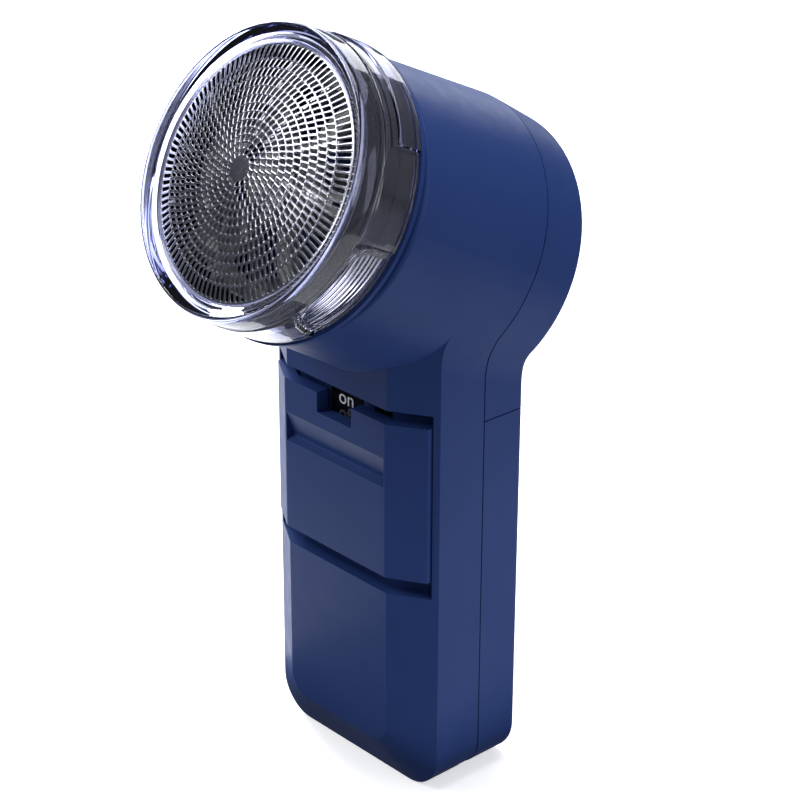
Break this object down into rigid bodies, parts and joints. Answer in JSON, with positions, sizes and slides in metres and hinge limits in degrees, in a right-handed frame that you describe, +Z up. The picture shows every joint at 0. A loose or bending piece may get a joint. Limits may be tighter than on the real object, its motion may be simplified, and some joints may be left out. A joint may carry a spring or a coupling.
{
  "type": "electric shaver",
  "caption": "Compact battery rotary shaver: faceted handle, forward-leaning round head with a domed foil in a clear frame, wide sliding switch.",
  "frame": {"origin": "on the flat bottom face, where the handle parting plane meets the centre plane", "axes": "+Z up the handle, the front with the switch faces -Y, +X to the right seen from the front"},
  "size_m": [0.044, 0.0595, 0.1153],
  "materials": {
    "navy_plastic": "fine satin texture",
    "smoke_clear": "clear polished smoke tint",
    "foil_steel": "polished slotted foil",
    "cutter_steel": "ground edges",
    "dark_plastic": "moulded",
    "white_plastic": "moulded",
    "legend_pad": "printed",
    "motor_steel": "plated",
    "magnet": "sintered",
    "copper": "enamelled",
    "contact_metal": "plated",
    "spring_steel": "bright",
    "screw_steel": "plated",
    "cell_jacket": "printed jacket",
    "felt": "felt",
    "red_lead": "insulated",
    "black_lead": "insulated"
  },
  "bodies": {
    "housing": {"front_case": "navy_plastic", "rear_head_cover": "navy_plastic", "cutter_deck": "navy_plastic", "switch_contacts": "contact_metal", "switch_legend": "legend_pad", "case_screws": "screw_steel", "battery_bulkhead": "dark_plastic", "battery_left": "cell_jacket", "battery_right": "cell_jacket", "upper_contact": "contact_metal", "upper_spring_plate": "contact_metal", "lower_contact": "contact_metal", "upper_spring": "spring_steel", "lower_spring": "spring_steel", "motor_can": "motor_steel", "motor_magnets": "magnet", "motor_end_bell": "white_plastic", "motor_bushes": "contact_metal", "motor_terminals": "contact_metal", "motor_brushes": "copper", "motor_bracket": "dark_plastic", "motor_screws": "screw_steel", "bracket_screws": "screw_steel", "deck_screws": "screw_steel", "shaft_seal": "felt", "wire_negative": "black_lead", "wire_positive": "red_lead"},
    "foil_frame": {"foil_frame": "smoke_clear", "outer_foil": "foil_steel", "foil_retainer": "dark_plastic"},
    "motor_rotor": {"motor_shaft": "motor_steel", "armature_core": "motor_steel", "armature_windings": "copper", "commutator": "copper", "drive_hub": "white_plastic", "cutter_spring": "spring_steel"},
    "inner_cutter": {"cutter_carrier": "white_plastic", "cutter_blades": "cutter_steel", "cutter_cap": "white_plastic"},
    "switch": {"switch_panel": "navy_plastic", "switch_slider": "dark_plastic", "switch_wiper": "contact_metal"},
    "battery_cover": {"battery_cover": "navy_plastic"}
  },
  "joints": [
    {"name": "foil_frame_pull", "type": "slide", "parent": "housing", "child": "foil_frame", "axis": [0, -0.8829, 0.4695], "range_m": [0, 0.016]},
    {"name": "motor_spin", "type": "hinge", "parent": "housing", "child": "motor_rotor", "pos_m": [0, 0, 0.0827], "axis": [0, -0.8829, 0.4695], "continuous": true},
    {"name": "cutter_float", "type": "slide", "parent": "motor_rotor", "child": "inner_cutter", "axis": [0, -0.8829, 0.4695], "range_m": [-0.0008, 0], "stiffness_N_per_m": 800, "springref_m": 0.0002, "deforming": ["cutter_spring"]},
    {"name": "switch_slide", "type": "slide", "parent": "housing", "child": "switch", "axis": [0, 0, 1], "range_m": [0, 0.0016]},
    {"name": "battery_cover_slide", "type": "slide", "parent": "housing", "child": "battery_cover", "axis": [0, 0, -1], "range_m": [0, 0.06]}
  ]
}
